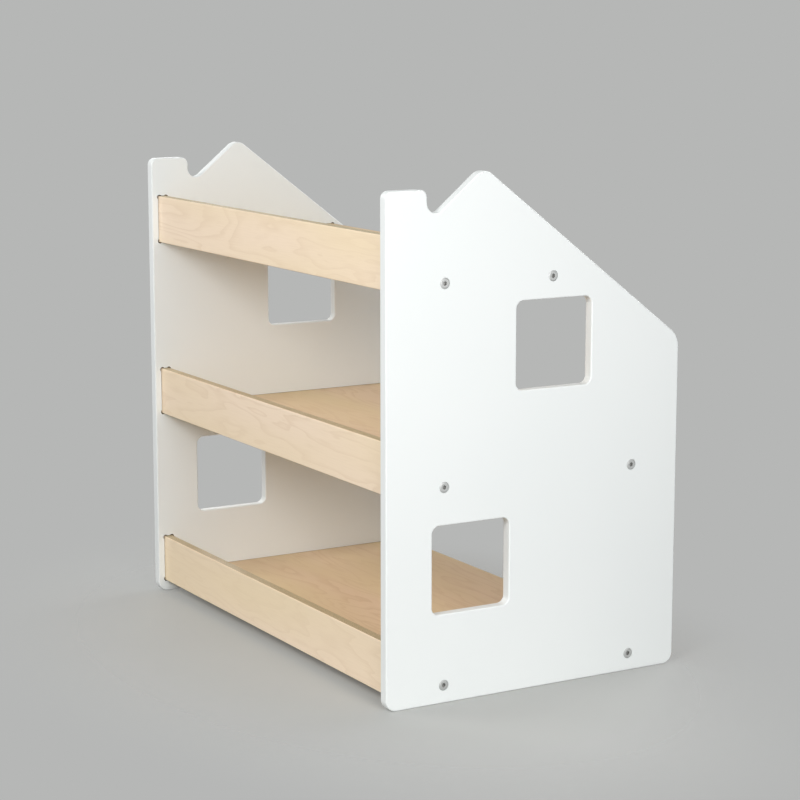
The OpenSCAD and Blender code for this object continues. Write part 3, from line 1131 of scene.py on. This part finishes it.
# %% [markdown]
# ## Floor
# The bookcase stands on a pale grey floor that fades into the background. It turns clear outside
# an oval round the bookcase, where the world's grey takes over, so no horizon shows. Even inside
# the oval it is a fifth clear, which softens the deep shadow under the lowest rail. It lies a
# tenth of a millimetre low, so that it never touches the panels' feet.

# %% Floor
FLOOR_RADIUS = 1.2
FLOOR_DROP = 0.1 * MM
MOTTLE = 333.3 * MM
FADE_CENTRE = (0.07, -0.09, 0)
FADE_SHAPE = (0.65, 1, 1)
FADE_START = 0.21
FADE_END = 0.59
LEAST_FADE = 0.2

bpy.ops.object.select_all(action="DESELECT")
bpy.ops.mesh.primitive_circle_add(vertices=96, radius=FLOOR_RADIUS, fill_type="NGON",
                                  location=(0, 0, -FLOOR_DROP))
floor = bpy.context.object
floor.name = "studio_floor"
settle(floor)
paper, tree, shader, coordinates = new_finish("matt grey background paper")
mottle = add(tree, "TexNoise", {"Vector": coordinates.outputs["Object"], "Scale": 1 / MOTTLE})
grey = add(tree, "Mix", {0: mottle.outputs["Fac"], 6: linear("#bdbebb"), 7: linear("#c1c2bf")},
           data_type="RGBA")
tree.links.new(grey.outputs[2], shader.inputs["Base Color"])
shader.inputs["Roughness"].default_value = 0.9
shader.inputs["Specular IOR Level"].default_value = 0.2
away = add(tree, "VectorMath", {0: coordinates.outputs["Object"], 1: FADE_CENTRE},
           operation="SUBTRACT")
oval = add(tree, "VectorMath", {0: away.outputs[0], 1: FADE_SHAPE}, operation="MULTIPLY")
reach = add(tree, "VectorMath", {0: oval.outputs[0]}, operation="LENGTH")
fade = add(tree, "MapRange", {"Value": reach.outputs["Value"], "From Min": FADE_START,
                              "From Max": FADE_END, "To Min": LEAST_FADE},
           interpolation_type="SMOOTHSTEP")
clear = add(tree, "BsdfTransparent", {})
blend = add(tree, "MixShader", {0: fade.outputs["Result"], 1: shader.outputs[0],
                                2: clear.outputs[0]})
tree.links.new(blend.outputs[0], tree.nodes["Material Output"].inputs["Surface"])
floor.data.materials.append(paper)
print("floor radius in metres:", FLOOR_RADIUS)

# %% [markdown]
# ## Lamps
# In the photograph the shadow under the top rail runs back across the left panel at about 28
# degrees below level, so the main soft box stands in front, to the right and not very high. A
# low one on the right lights the outer face of the right-hand panel, which keeps its light from
# the inside. Weaker ones at the front left, on the left and high behind open up the shelves.
# Last, a dim white card gives the bolts' heads something to mirror.

# %% Lamps
LOOK_AT = Vector((0.0, 0.0, 0.35))


def soft_box(name, place, size, power):
    """A square lamp that faces the bookcase"""
    place = Vector(place)
    bpy.ops.object.light_add(type="AREA", location=place)
    lamp = bpy.context.object
    lamp.name = name
    lamp.rotation_euler = (LOOK_AT - place).to_track_quat("-Z", "Y").to_euler()
    lamp.data.size = size
    lamp.data.energy = power
    lamp.visible_camera = False
    print(name, "stands", round((place - LOOK_AT).length, 2), "m away")
    return lamp


soft_box("main_soft_box", (1.34, -1.91, 1.5), 0.8, 30)
soft_box("right_soft_box", (2.0, -0.4, 0.8), 1.0, 18)
soft_box("front_left_soft_box", (-1.0, -1.7, 1.6), 1.0, 16)
soft_box("left_soft_box", (-2.2, 0.2, 1.0), 1.2, 10)
soft_box("rear_soft_box", (-0.4, 2.2, 1.8), 1.4, 31)
soft_box("white_card", (2.4, 1.9, 0.4), 1.6, 5)
